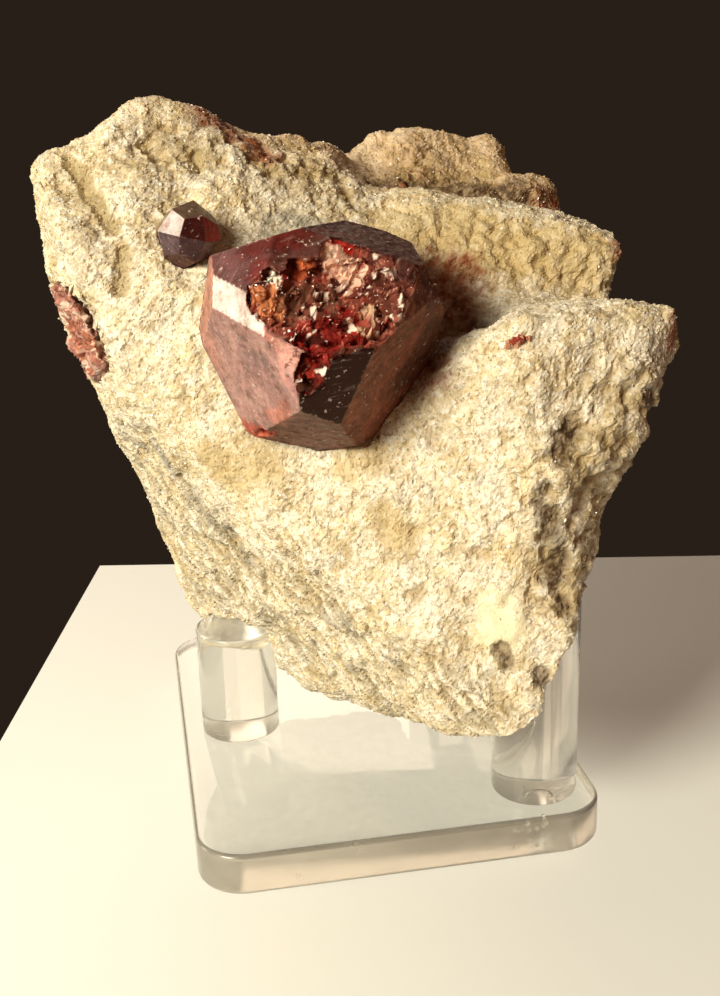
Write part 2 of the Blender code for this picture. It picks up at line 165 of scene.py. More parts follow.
# Garnets, as in the part's source
LARGE_GARNET_CENTRE = (-7.4, -20.0, 75.1)
LARGE_GARNET_SIZE = 15.0
LARGE_GARNET_TILT = (152, 41, 135)
LARGE_GARNET_GROWTH = {
    (-2, -1, -1): 0.99, (-2, -1, 1): 1.08, (-2, 1, -1): 0.96, (-2, 1, 1): 1.10,
    (-1, -2, -1): 1.16, (-1, -2, 1): 1.04, (-1, -1, -2): 1.12, (-1, -1, 2): 0.82,
    (-1, 1, -2): 0.97, (-1, 2, -1): 1.29, (-1, 2, 1): 1.27, (1, -2, -1): 0.89,
    (1, -2, 1): 0.95, (1, -1, -2): 1.07, (1, 1, 2): 0.69,
}
# The bright facet's pale colour, in the face looks below, is a painted highlight.
BRIGHT_FACET = (0, -1, -1)  # a small face of the other form, {1 1 0}
BRIGHT_FACET_GROWTH = 1.085
SMALL_GARNET_CENTRE = (-24.0, -6.0, 88.0)
SMALL_GARNET_SIZE = 4.0
SMALL_GARNET_TILT = (96, 12, 28)
SMALL_GARNET_GROWTH = {(-1, -2, -1): 1.08, (2, 1, 1): 1.1}
LARGE_GARNET_VOXEL = 0.28
EDGE_GARNET_VOXEL = 0.26
SMALL_GARNET_RIM = 0.10  # width of the rims round its faces
BREAK_DEPTH = 0.16  # skin this far inside the crystal's planes is broken

# Looks of the large garnet's faces: colour with painted light and shade, frosting
# Each face's colour is paler or darker by how it faces the lamps, the bright facet pale as a painted
# highlight.
LARGE_FACE_LOOKS_WITH_PAINTED_LIGHT = {
    (-1, -1, -2): ((0.135, 0.056, 0.056), 0.34),
    (1, -2, -1): ((0.370, 0.210, 0.185), 0.40),
    (0, -1, -1): ((0.740, 0.590, 0.540), 0.34),
    (-1, -2, -1): ((0.330, 0.130, 0.110), 0.34),
    (-1, -2, 1): ((0.010, 0.002, 0.001), 0.36),
    (1, -2, 1): ((0.130, 0.052, 0.036), 0.45),
    (-1, -1, 2): ((0.240, 0.080, 0.044), 0.55),
    (-2, -1, 1): ((0.120, 0.036, 0.020), 0.48),
    (-2, 1, -1): ((0.050, 0.008, 0.006), 0.60),
    (1, -1, -2): ((0.420, 0.190, 0.140), 0.45),
}
# The small garnet's face colours paint its light and shade: the pale face is a painted highlight, the near
# black ones painted shade.
SMALL_FACE_LOOKS_WITH_PAINTED_LIGHT = {
    (-2, 1, 1): ((0.620, 0.540, 0.520), 0.34),
    (-2, -1, 1): ((0.120, 0.080, 0.085), 0.24),
    (-1, 2, 1): ((0.120, 0.075, 0.050), 0.28),
    (-2, 1, -1): ((0.260, 0.180, 0.110), 0.30),
    (-1, 1, 2): ((0.035, 0.006, 0.006), 0.18),
    (-1, -1, 2): ((0.050, 0.026, 0.030), 0.22),
    (1, 1, 2): ((0.480, 0.006, 0.012), 0.12),
    (1, -1, 2): ((0.100, 0.004, 0.006), 0.16),
}
OTHER_FACES = ((0.100, 0.036, 0.030), 0.32)

# The large garnet's break: facets' size, height and seed, then where it has which colour: the
# line that a zone follows, radius, colour
BREAK_FACETS = ((3.4, 1.90, 1), (1.8, 0.60, 2), (0.7, 0.10, 12))
BREAK_SINK = 0.2
BREAK_ZONES = (
    (((-13, -30, 86), (-14, -29, 87)), 1.5, (0.150, 0.004, 0.004)),
    (((-11, -28, 86), (-12, -29, 86)), 1.1, (0.560, 0.130, 0.045)),
    (((-9, -27, 89), (-10, -28, 88.5)), 1.4, (0.480, 0.085, 0.030)),
    (((-5, -26, 89), (-6, -26.5, 88.5)), 1.3, (0.400, 0.015, 0.010)),
    (((-7, -27.5, 87), (-6, -28, 86), (-5, -28.5, 85)), 1.9, (0.700, 0.440, 0.330)),
    (((-13, -30, 82), (-11, -30.5, 82), (-8, -30.5, 83)), 2.2, (0.120, 0.048, 0.030)),
    (((1, -29, 86), (1, -30, 84), (0, -31, 82)), 2.4, (0.090, 0.026, 0.018)),
    (((-10, -34, 78), (-9, -34, 77), (-11, -36, 77), (-7, -32.5, 79)), 2.8, (0.170, 0.007, 0.007)),
    (((-12, -36, 74), (-12, -36.5, 72)), 1.5, (0.260, 0.016, 0.010)),
    (((-3, -31.5, 80), (-4, -33, 79), (-2, -31.5, 80.5)), 1.3, (0.620, 0.420, 0.270)),
    (((-16, -30, 83), (-15, -30.5, 82), (-16, -31.5, 81)), 1.4, (0.540, 0.200, 0.085)),
    (((-15, -29.5, 84.5),), 1.0, (0.800, 0.680, 0.580)),
    (((-14, -27, 89), (-11, -27, 89)), 1.6, (0.240, 0.022, 0.016)),
    (((-18, -22, 63), (-17, -24, 62.5)), 2.4, (0.450, 0.110, 0.060)),
)
# Colours that lie over the large garnet's faces, stains and one painted shade: the line that one follows,
# radius, colour
STAIN_STRENGTH = 0.85
FACE_STAINS_AND_PAINTED_SHADE = (
    (((-17, -25, 89), (-15, -26, 89), (-12, -27, 90)), 2.4, (0.110, 0.014, 0.011)),
    (((-16, -28, 86), (-16, -30, 84)), 1.8, (0.180, 0.030, 0.028)),
    (((-19, -28, 75), (-17, -32, 75)), 1.6, (0.230, 0.140, 0.130)),
    (((-14, -36, 78), (-14, -36, 73)), 1.8, (0.520, 0.260, 0.230)),
    (((-14, -33, 69), (-15, -29, 67)), 1.6, (0.480, 0.190, 0.140)),
    (((-23, -21, 77), (-22, -20, 73)), 1.6, (0.460, 0.220, 0.170)),
    (((-19, -20, 63), (-17, -24, 63)), 2.0, (0.440, 0.080, 0.045)),
    # Near black down the crystal's right side, away from the key light: painted shade.
    (((7, -26, 76), (6, -25, 73), (3, -27, 68)), 3.4, (0.060, 0.022, 0.012)),
    (((4, -29, 86), (6, -29, 81)), 2.6, (0.090, 0.028, 0.018)),
    (((-9, -25, 91), (-4, -22, 90)), 2.4, (0.100, 0.014, 0.010)),
)
BREAK_COLOUR = (0.200, 0.048, 0.032)  # outside the zones
# Chips with a higher lot are pale: painted glints.
GLINT_COLOUR, GLINT_LOT = (0.850, 0.680, 0.580), 0.965  # chips with a higher lot glint
SHADE_COLOUR, SHADE_LOT = (0.060, 0.010, 0.008), 0.09  # chips with a lower lot are almost black
SCRATCH_TURN = (-0.384, 0.0, 0.116)  # radians
SCRATCH_STRETCH = (4.5, 0.33, 4.5)  # times the noise's own size
GLINTS = 200
GLINT_SIZE = (0.20, 0.60)
GLINT_THICKNESS = 0.14  # times a splinter's size
GLINT_FLOOR = 79.0  # they stand only above this height
WORN_FROST = 0.42  # faces duller than this are worn
WEAR_SIZE, WEAR_DEPTH = 1.1, 0.16
EDGE_GARNET_FACETS = ((3.0, 1.00, 13), (1.4, 0.50, 3), (0.7, 0.25, 4))
EDGE_GARNET_SINK = 0.6
EDGE_GARNET_COLOURS = ((0.38, 0.18, 0.14), (0.50, 0.30, 0.24), (0.20, 0.07, 0.05),
                       (0.40, 0.15, 0.09), (0.64, 0.50, 0.40), (0.30, 0.12, 0.09))
RED_GRAIN_PLACE = (17.0, -30.6, 75.2)
RED_GRAIN_WAY = (0.86, -0.36, 0.36)
RED_GRAIN_LENGTH = 3.0
RED_GRAIN_CHIPS = 16
RED_GRAIN_COLOURS = ((0.36, 0.10, 0.06), (0.26, 0.04, 0.025), (0.50, 0.24, 0.15))

# Stand
PLATE_CORNER_RADIUS = 7.0
PLATE_ROUNDING = 0.7
PEG_ROUNDING = 0.35
RIM_STEPS = 4  # in a rounded rim
PLATE_HAZE = (0.04, 0.78, 0.04)  # of the bottom, the side and the top, from clear 0 to dull 1
PEG_HAZE = (1.0, 0.22, 0.30)
BUBBLE_ARCH_MIDDLE = (20.6, -31.4, 6.9)  # air in the glue under the front tall peg
BUBBLE_ARCH_HALF_WIDTH, BUBBLE_ARCH_HEIGHT = 1.6, 1.3
BUBBLE_ARCH_RADII = (0.26, 0.26, 0.20)
BUBBLE_ARCH_STEPS = 24
RIM_BUBBLES = 26
RIM_BUBBLE_SIZE = (0.12, 0.40)
RIM_BUBBLE_CORNERS = ((15.0, -36.9, 0.9), (20.5, -35.6, 5.6))  # of the box that holds them


# ---------------------------------------------------------------- meshes

def mm(*values):
    return Vector(values) * MM


def put_in_scene(name, data):
    made = bpy.data.objects.new(name, data)
    bpy.context.scene.collection.objects.link(made)
    return made


def new_piece(name, mesh, look, slot_name, *nodes):
    """Put a mesh into the scene as a piece of the object, in place of the nodes if any."""
    mesh.materials.append(bpy.data.materials[look])
    piece = put_in_scene(name, mesh)
    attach(piece, "root")
    if nodes:
        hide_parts(*nodes)
    return piece


def mesh_of(name, shape):
    mesh = bpy.data.meshes.new(name)
    shape.to_mesh(mesh)
    shape.free()
    return mesh


def node_shape(node):
    """A CAD node's skin as a bmesh with shared corners."""
    shape = bmesh.new()
    shape.from_mesh(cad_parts[node].data)
    bmesh.ops.remove_doubles(shape, verts=shape.verts, dist=0.01 * MM)
    return shape


def remeshed(name, shape, voxel, smoothing):
    """The shape's skin as even small faces."""
    holder = put_in_scene(name, mesh_of(name, shape))
    skin = holder.modifiers.new("even faces", "REMESH")
    skin.mode = "VOXEL"
    skin.voxel_size = voxel * MM
    if smoothing:
        soften = holder.modifiers.new("soften", "SMOOTH")
        soften.factor = 0.5
        soften.iterations = smoothing
    graph = bpy.context.evaluated_depsgraph_get()
    mesh = bpy.data.meshes.new_from_object(holder.evaluated_get(graph))
    bpy.data.objects.remove(holder)
    mesh.name = name
    return mesh


def read(items, name, width, kind=float):
    """One property of all the items, a row for each."""
    values = np.empty(len(items) * width, kind)
    items.foreach_get(name, values)
    return values.reshape(-1, width)


def read_points(mesh):
    """The mesh's corners, in millimetres."""
    return read(mesh.vertices, "co", 3) / MM


def read_normals(mesh):
    return read(mesh.vertex_normals, "vector", 3)


def read_mask(mesh, name):
    return read(mesh.attributes[name].data, "value", 1, np.float32)[:, 0]


def write_points(mesh, points):
    mesh.vertices.foreach_set("co", (points * MM).ravel())
    mesh.update()


def write_mask(mesh, name, values):
    mask = mesh.attributes.new(name, "FLOAT", "POINT")
    mask.data.foreach_set("value", np.asarray(values, np.float32))


def write_colour(mesh, name, colours):
    layer = mesh.attributes.new(name, "FLOAT_COLOR", "POINT")
    rgba = np.ones((len(colours), 4), np.float32)
    rgba[:, :3] = colours
    layer.data.foreach_set("color", rgba.ravel())


def tree_of(mesh):
    return BVHTree.FromPolygons([v.co / MM for v in mesh.vertices],
                                [tuple(p.vertices) for p in mesh.polygons])


# ---------------------------------------------------------------- noise and distances

def lumps(points, size, seed, detail=3):
    """Smooth noise of about -1 to 1, with lumps of about the size."""
    shift = Vector((13.7, 9.1, 4.3)) * seed
    return np.array([noise.fractal(Vector(point) / size + shift, 0.8, 2.0, detail)
                     for point in points])


def facets(points, size, seed):
    """Flat facets of about the size: height, distance from a facet's rim, and a lot from 0 to 1."""
    shift = Vector((7.9, 3.3, 11.1)) * seed
    heights = np.empty(len(points))
    rims = np.empty(len(points))
    lots = np.empty(len(points))
    for index, point in enumerate(points):
        place = Vector(point) / size + shift
        distances, centres = noise.voronoi(place)
        lot = noise.cell_vector(centres[0] * 1000)
        heights[index] = 2 * (lot - Vector((0.5, 0.5, 0.5))).dot(place - centres[0])
        rims[index] = distances[1] - distances[0]
        lots[index] = (lot.x * 7 + lot.y * 3) % 1.0
    return heights, rims, lots


def layered(points, across, along):
    """Points squeezed so that noise read there is drawn out along the rock's layers."""
    depth = points @ np.array(FOLIATION)
    return points / along + np.outer(depth, np.array(FOLIATION)) * (1 / across - 1 / along)


def ramp(values, low, high):
    """0 up to low, 1 from high on, with a smooth rise between them."""
    rise = np.clip((values - low) / (high - low), 0, 1)
    return rise * rise * (3 - 2 * rise)


def frayed(points, size, seeds, detail, reach):
    """The points moved about by noise, so that what is measured from them has a ragged rim."""
    return points + np.stack([lumps(points, size, seed, detail) for seed in seeds], axis=1) * reach


def distance_to_line(points, places):
    """How far each point is from a line through the places."""
    places = np.array(places, float)
    starts, ends = (places, places) if len(places) == 1 else (places[:-1], places[1:])
    nearest = np.full(len(points), np.inf)
    for start, end in zip(starts, ends):
        way = end - start
        along = np.clip((points - start) @ way / max(way @ way, 1e-9), 0, 1)
        nearest = np.minimum(nearest, np.linalg.norm(points - start - np.outer(along, way), axis=1))
    return nearest


# ---------------------------------------------------------------- many small pieces

def random_turns(count, random):
    """Rotation matrices that point every way alike."""
    quaternions = random.normal(size=(count, 4))
    quaternions /= np.linalg.norm(quaternions, axis=1)[:, None]
    w, x, y, z = quaternions.T
    return np.stack([
        np.stack([1 - 2 * (y * y + z * z), 2 * (x * y - z * w), 2 * (x * z + y * w)], axis=1),
        np.stack([2 * (x * y + z * w), 1 - 2 * (x * x + z * z), 2 * (y * z - x * w)], axis=1),
        np.stack([2 * (x * z - y * w), 2 * (y * z + x * w), 1 - 2 * (x * x + y * y)], axis=1),
    ], axis=1)


def scatter(mesh, count, random):
    """Random places on a mesh, evenly spread: points, outward directions, corner numbers."""
    mesh.calc_loop_triangles()
    triangles = read(mesh.loop_triangles, "vertices", 3, np.int32)
    corners = read_points(mesh)[triangles]
    cross = np.cross(corners[:, 1] - corners[:, 0], corners[:, 2] - corners[:, 0])
    area = np.linalg.norm(cross, axis=1)
    chosen = random.choice(len(area), size=count, p=area / area.sum())
    split = random.dirichlet((1, 1, 1), size=count)
    places = np.einsum("ij,ijk->ik", split, corners[chosen])
    return places, cross[chosen] / area[chosen, None], triangles[chosen, 0]


def solid_mesh(name, corners, faces):
    """One mesh of many like solids: corners is (solid, corner, xyz), faces are of one solid."""
    count, size, _ = corners.shape
    every = [[start + corner for corner in face] for start in range(0, count * size, size) for face in faces]
    mesh = bpy.data.meshes.new(name)
    mesh.from_pydata((corners.reshape(-1, 3) * MM).tolist(), [], every)
    mesh.update()
    return mesh


GRAIN_CORNERS = np.array([[x, y, z] for x in (-0.5, 0.5) for y in (-0.5, 0.5) for z in (-0.5, 0.5)])
GRAIN_FACES = ((0, 1, 3, 2), (4, 6, 7, 5), (0, 4, 5, 1), (2, 3, 7, 6), (0, 2, 6, 4), (1, 5, 7, 3))


def plates_mesh(name, centres, sizes, thickness, random):
    """Many thin six-sided plates, turned every way; the thickness is times a plate's size."""
    count = len(centres)
    ring = [(cos(pi * step / 3) / 2, sin(pi * step / 3) / 2) for step in range(6)]
    plate = np.array([(x, y, z) for z in (-thickness / 2, thickness / 2) for x, y in ring])
    size = sizes[0] + (sizes[1] - sizes[0]) * random.beta(1.4, 3.0, size=count)
    turned = np.einsum("nij,nkj->nki", random_turns(count, random), plate[None] * size[:, None, None])
    faces = [tuple(reversed(range(6))), tuple(range(6, 12))]
    faces += [(step, (step + 1) % 6, (step + 1) % 6 + 6, step + 6) for step in range(6)]
    return solid_mesh(name, turned + centres[:, None, :], faces)


def away_from(neighbours, places, distance):
    """Which places are farther than the distance from every neighbour."""
    return np.array([all(tree.find_nearest(Vector(place), distance)[0] is None for tree in neighbours)
                     for place in places])


# ---------------------------------------------------------------- crystals

def trapezohedron_faces():
    orders = sorted(set(permutations((2, 1, 1))))
    return [tuple(size * sign for size, sign in zip(order, signs))
            for order in orders for signs in product((1, -1), repeat=3)]


def crystal_planes(size, tilt, growth, extra=()):
    """Each face of a crystal: its indices, outward direction and distance from the centre."""
    turn = Euler([radians(angle) for angle in tilt]).to_matrix()
    faces = [(face, growth.get(face, 1.0)) for face in trapezohedron_faces()] + list(extra)
    return [(face, np.array(turn @ Vector(face).normalized()), reach * size) for face, reach in faces]


def plane_offsets(points, centre, planes):
    """How far each point is outside each face's plane, and the outward directions."""
    outward = np.array([direction for _, direction, _ in planes])
    reach = np.array([distance for _, _, distance in planes])
    return (points - np.array(centre)) @ outward.T - reach, outward


def paint_faces(mesh, planes, nearest, looks):
    """Give each point the colour, with its painted light and shade, and the frost of the face that it is
    nearest to.
    """
    chosen = [looks.get(face, OTHER_FACES) for face, _, _ in planes]
    write_colour(mesh, "face_colour_and_painted_light", np.array([look[0] for look in chosen])[nearest])
    write_mask(mesh, "frost", np.array([look[1] for look in chosen])[nearest])


def stain_faces(mesh, points):
    """Blend the stains, and the painted shade among them, softly into the colours of the faces."""
    layer = mesh.attributes["face_colour_and_painted_light"]
    colours = read(layer.data, "color", 4, np.float32)
    ragged = frayed(points, 2.6, (25, 26, 27), 3, 0.9)
    for places, radius, colour in FACE_STAINS_AND_PAINTED_SHADE:
        amount = STAIN_STRENGTH * (1 - ramp(distance_to_line(ragged, places) / radius, 0.55, 1.25))
        colours[:, :3] += (np.array(colour) - colours[:, :3]) * amount[:, None]
    layer.data.foreach_set("color", colours.ravel())


def zone_colours(points, lots):
    """The colour of each chip in the break: its zone's, darker or paler by lot, with some pale chips as
    painted glints and some almost black.
    """
    ragged = frayed(points, 1.8, (21, 22, 23), 2, 1.1)
    best = np.full(len(points), 1.25)
    colours = np.tile(BREAK_COLOUR, (len(points), 1)).astype(float)
    for places, radius, colour in BREAK_ZONES:
        distance = distance_to_line(ragged, places) / radius
        inside = distance < best
        best[inside] = distance[inside]
        colours[inside] = colour
    own = 1 - 0.4 * ((lots * 9.7) % 1.0)[:, None]
    colours = colours * own + np.array(BREAK_COLOUR) * (1 - own)
    colours *= (0.60 + 1.0 * ((lots * 5.3) % 1.0))[:, None]
    colours[lots > GLINT_LOT] = GLINT_COLOUR
    colours[lots < SHADE_LOT] = SHADE_COLOUR
    return np.clip(colours, 0, 0.9)


def facet_relief(points, layers):
    """Facets of several sizes on top of each other: their height and each layer's lots."""
    every = [facets(points, size, seed) for size, _, seed in layers]
    height = sum(heights * tall for (heights, _, _), (_, tall, _) in zip(every, layers))
    return height, [lots for _, _, lots in every]


def make_large_garnet():
    """The large crystal: flat faces, and rubble where it is broken."""
    mesh = remeshed("large_garnet_crystal", node_shape("large_garnet"), LARGE_GARNET_VOXEL, 0)
    points = read_points(mesh)
    planes = crystal_planes(LARGE_GARNET_SIZE, LARGE_GARNET_TILT, LARGE_GARNET_GROWTH,
                            [(BRIGHT_FACET, BRIGHT_FACET_GROWTH)])
    offsets, outward = plane_offsets(points, LARGE_GARNET_CENTRE, planes)
    nearest = offsets.argmax(axis=1)
    depth = -offsets.max(axis=1)
    broken = ramp(depth, BREAK_DEPTH, BREAK_DEPTH + 0.35)
    whole = depth < BREAK_DEPTH
    points[whole] += outward[nearest[whole]] * depth[whole, None]

    rubble, (_, chip_lots, splinter_lots) = facet_relief(points, BREAK_FACETS)
    points += read_normals(mesh) * (broken * (rubble - BREAK_SINK))[:, None]
    offsets, outward = plane_offsets(points, LARGE_GARNET_CENTRE, planes)
    outside = np.maximum(offsets.max(axis=1), 0)
    points -= outward[offsets.argmax(axis=1)] * outside[:, None]
    frosts = np.array([LARGE_FACE_LOOKS_WITH_PAINTED_LIGHT.get(face, OTHER_FACES)[1] for face, _, _ in planes])
    worn = (frosts[nearest] > WORN_FROST) * (1 - broken)
    points -= outward[nearest] * (worn * WEAR_DEPTH * (1 + lumps(points, WEAR_SIZE, 24, 4)))[:, None]
    write_points(mesh, points)

    paint_faces(mesh, planes, nearest, LARGE_FACE_LOOKS_WITH_PAINTED_LIGHT)
    stain_faces(mesh, points)
    write_mask(mesh, "broken", broken)
    write_colour(mesh, "chip_colour", zone_colours(points, (chip_lots + 0.12 * splinter_lots) % 1.0))
    mesh.shade_smooth()
    corners = read(mesh.loops, "vertex_index", 1, np.int32)[::4, 0]  # the faces are all quads
    mesh.polygons.foreach_set("use_smooth", broken[corners] < 0.5)
    return new_piece("large_garnet_crystal", mesh, "garnet_look", "garnet", "large_garnet")


def make_glints(crystal):
    """Small bright splinters that stand in the large garnet's break; their pale colour is a painted glint.
    """
    random = np.random.default_rng(5)
    places, _, corner = scatter(crystal.data, 24 * GLINTS, random)
    inside = (read_mask(crystal.data, "broken")[corner] > 0.9) & (places[:, 2] > GLINT_FLOOR)
    chosen = np.flatnonzero(inside)[:GLINTS]
    mesh = plates_mesh("garnet_splinters", places[chosen], GLINT_SIZE, GLINT_THICKNESS, random)
    return new_piece("garnet_splinters", mesh, "splinter_painted_glint_look", "garnet")


def make_small_garnet():
    """The small crystal, whole, with narrow rims round its faces."""
    shape = node_shape("small_garnet")
    bmesh.ops.dissolve_limit(shape, angle_limit=radians(1), verts=shape.verts, edges=shape.edges)
    bmesh.ops.inset_individual(shape, faces=shape.faces[:], thickness=SMALL_GARNET_RIM * MM)
    mesh = mesh_of("small_garnet_crystal", shape)
    planes = crystal_planes(SMALL_GARNET_SIZE, SMALL_GARNET_TILT, SMALL_GARNET_GROWTH)
    points = read_points(mesh)
    offsets, _ = plane_offsets(points, SMALL_GARNET_CENTRE, planes)
    paint_faces(mesh, planes, offsets.argmax(axis=1), SMALL_FACE_LOOKS_WITH_PAINTED_LIGHT)
    write_mask(mesh, "broken", np.zeros(len(points)))
    write_colour(mesh, "chip_colour", np.zeros((len(points), 3)))
    return new_piece("small_garnet_crystal", mesh, "garnet_look", "garnet", "small_garnet")


def paint_chips(mesh, lots, colours):
    """Give every chip of a crumbled garnet one of the colours by lot."""
    count = len(lots)
    chosen = np.array(colours)[(lots * len(colours)).astype(int) % len(colours)]
    write_colour(mesh, "face_colour_and_painted_light", chosen)
    write_colour(mesh, "chip_colour", chosen)
    write_mask(mesh, "frost", np.full(count, 0.4))
    write_mask(mesh, "broken", np.ones(count))


def make_edge_garnet():
    """The crumbled crystal in the rock's left edge."""
    mesh = remeshed("edge_garnet_crust", node_shape("edge_garnet"), EDGE_GARNET_VOXEL, 1)
    points = read_points(mesh)
    rubble, (_, lots, chip_lots) = facet_relief(points, EDGE_GARNET_FACETS)
    points += read_normals(mesh) * (rubble - EDGE_GARNET_SINK)[:, None]
    write_points(mesh, points)
    paint_chips(mesh, (lots + 0.2 * chip_lots) % 1.0, EDGE_GARNET_COLOURS)
    mesh.shade_smooth()
    return new_piece("edge_garnet_crust", mesh, "garnet_look", "garnet", "edge_garnet")


def make_red_grain(rock_tree):
    """A few chips of red garnet in the rock to the right of the large crystal."""
    random = np.random.default_rng(8)
    spread = np.array(RED_GRAIN_WAY) * RED_GRAIN_LENGTH
    corners = []
    for along in np.linspace(-0.5, 0.5, RED_GRAIN_CHIPS):
        near = Vector(np.array(RED_GRAIN_PLACE) + spread * along + random.normal(size=3) * 0.12)
        place, outward, _, _ = rock_tree.find_nearest(near)
        size = random.uniform(0.6, 1.0) * (1 - 0.7 * abs(along))
        chip = GRAIN_CORNERS * size * random.uniform(0.8, 1.2, size=3)
        turned = chip @ random_turns(1, random)[0].T
        corners.append(turned + np.array(place) + np.array(outward) * 0.02)
    mesh = solid_mesh("red_grain", np.array(corners), GRAIN_FACES)
    paint_chips(mesh, np.repeat(random.uniform(size=RED_GRAIN_CHIPS), 8), RED_GRAIN_COLOURS)
    return new_piece("red_grain", mesh, "garnet_look", "garnet")


# ---------------------------------------------------------------- rock

def patch_masks(points):
    """How much of each kind of stain or mineral there is at each point, from 0 to 1."""
    fray = lumps(points, 1.6, 5, 3)
    masks = {kind: np.zeros(len(points)) for kind in PATCH_KINDS}
    behind = ramp(points[:, 1], 4, 22)
    masks["ochre"] = behind * ramp(lumps(points, 13.0, 31), 0.18, 0.55)
    masks["rust"] = behind * ramp(lumps(points, 9.0, 32), 0.38, 1.0)
    masks["stained"] = behind * ramp(lumps(points, 16.0, 33), 0.0, 0.5)
    for kind, places, radius in ROCK_PATCHES:
        distance = distance_to_line(points, places)
        amount = ramp(1.35 - distance / radius + PATCH_FRAY * fray, 0.0, 0.8)
        masks[kind] = np.maximum(masks[kind], amount)
    return masks


def rock_relief(points, masks):
    """The height of the broken surface in mm, each facet's lot, and its grooves and pits."""
    foliated = masks["layered"]
    hidden = np.maximum(ramp(points[:, 1], 6, 24), ramp(points[:, 0], 38, 44))
    slabs, slab_rims, _ = facets(points, SLAB_SIZE, 8)
    slabs *= ramp(slab_rims, 0.0, 0.22)
    blocks, block_rims, _ = facets(points, BLOCK_SIZE, 7)
    blocks *= ramp(block_rims, 0.0, 0.16)
    coarse, _, lots = facets(points, COARSE_FACET_SIZE, 5)
    fine, _, fine_lots = facets(points, FINE_FACET_SIZE, 6)
    lenses, gaps, lens_lots = facets(layered(points, LENS_THICKNESS, LENS_LENGTH), 1.0, 15)
    long_layers = lumps(layered(points, LAYER_THICKNESS, LAYER_LENGTH), 1.0, 16, 2)
    seams = 0.8 * (1 - ramp(np.abs(long_layers), 0.02, 0.14))
    grooves = foliated * np.maximum(1 - ramp(gaps, 0.02, 0.20), seams)
    masks["quartz"] = np.maximum(masks["quartz"], foliated * (lens_lots > 0.84) * 0.7)
    knobs = masks["stained"] * lumps(points, KNOB_SIZE, 10, 2)
    pits = np.maximum(ramp(lumps(points, PIT_SIZE, 9, 4), 0.35, 0.75),
                      masks["stained"] * ramp(-knobs, 0.05, 0.40))
    rough = COARSE_FACET_HEIGHT * coarse + FINE_FACET_HEIGHT * fine - PIT_DEPTH * pits + KNOB_HEIGHT * knobs
    height = SWELL_HEIGHT * lumps(points, SWELL_SIZE, 1) + BLOCK_HEIGHT * blocks
    height += np.clip(1 - 0.85 * masks["feldspar"] - 0.6 * foliated, 0.15, 1) * rough
    height += foliated * (LENS_HEIGHT * lenses + LAYER_HEIGHT * long_layers) - GROOVE_DEPTH * grooves
    height += SLAB_HEIGHT * hidden * slabs
    height -= BROWN_DEPTH * masks["brown"] + CREASE_DEPTH * masks["crease"]
    return height, (lots + fine_lots) % 1.0, grooves, pits


def turn_flank(points):
    """Turn the right part of the front back, away from the big face."""
    low, high = SHADED_FLANK_HEIGHTS
    along = ramp(points[:, 2], low - 5, low + 5) * (1 - ramp(points[:, 2], high - 5, high + 5))
    back = SHADED_FLANK_SLOPE * np.maximum(points[:, 0] - SHADED_FLANK_X, 0)
    back *= along * ramp(-points[:, 1], 0, 18)
    return points + np.outer(back, (0.17, 1.0, 0.0))


def hug(points, neighbours):
    """Draw the rock's points close to a neighbour onto its skin, so no gap shows."""
    for tree in neighbours:
        for index, point in enumerate(points):
            place, normal, _, distance = tree.find_nearest(Vector(point), CONTACT_REACH)
            if place is None:
                continue
            outside = (Vector(point) - place).dot(normal) >= 0
            gap = distance / CONTACT_REACH if outside else 0
            points[index] = place + normal * (CONTACT_REACH * gap ** 2 - CONTACT_SINK)
    return points


def make_rock(neighbours):
    """Make the rock's skin, in lengths that share their seam corners; gives the whole skin."""
    random = np.random.default_rng(3)
    mesh = remeshed("whole_rock_skin", node_shape("matrix_rock"), ROCK_VOXEL, 1)
    points = turn_flank(read_points(mesh))
    write_points(mesh, points)
    masks = patch_masks(points)
    height, lots, grooves, pits = rock_relief(points, masks)
    calm = 1 - 0.8 * masks["feldspar"] - 0.4 * np.minimum(masks["layered"], 1 - masks["feldspar"])
    points += read_normals(mesh) * height[:, None]
    points += random.normal(size=points.shape) * GRAIN_JITTER * calm[:, None]
    points = hug(points, neighbours)
    write_points(mesh, points)
    masks["lot"] = lots
    masks["layer"] = grooves
    # Darker colour in pits and low ground: painted shade.
    masks["low"] = np.clip(pits + ramp(-height, 0.3, 1.0), 0, 1)
    masks["back"] = ramp(points[:, 1], 6, 20) * ramp(points[:, 2], 80, 90)
    for kind, values in masks.items():
        write_mask(mesh, kind, values)
    part = np.searchsorted(np.array(ROCK_SPLITS), read(mesh.polygons, "center", 3)[:, 0] / MM)
    for number in range(len(ROCK_SPLITS) + 1):
        keep_part(mesh, part == number, f"rock_skin_{number + 1}")
    return mesh


def keep_part(mesh, wanted, name):
    """Make a piece of the wanted faces of the rock's skin."""
    shape = bmesh.new()
    shape.from_mesh(mesh)
    shape.faces.ensure_lookup_table()
    spare = [shape.faces[index] for index in np.flatnonzero(~wanted)]
    bmesh.ops.delete(shape, geom=spare, context="FACES")
    return new_piece(name, mesh_of(name, shape), "matrix_look", "pale_matrix", "matrix_rock")


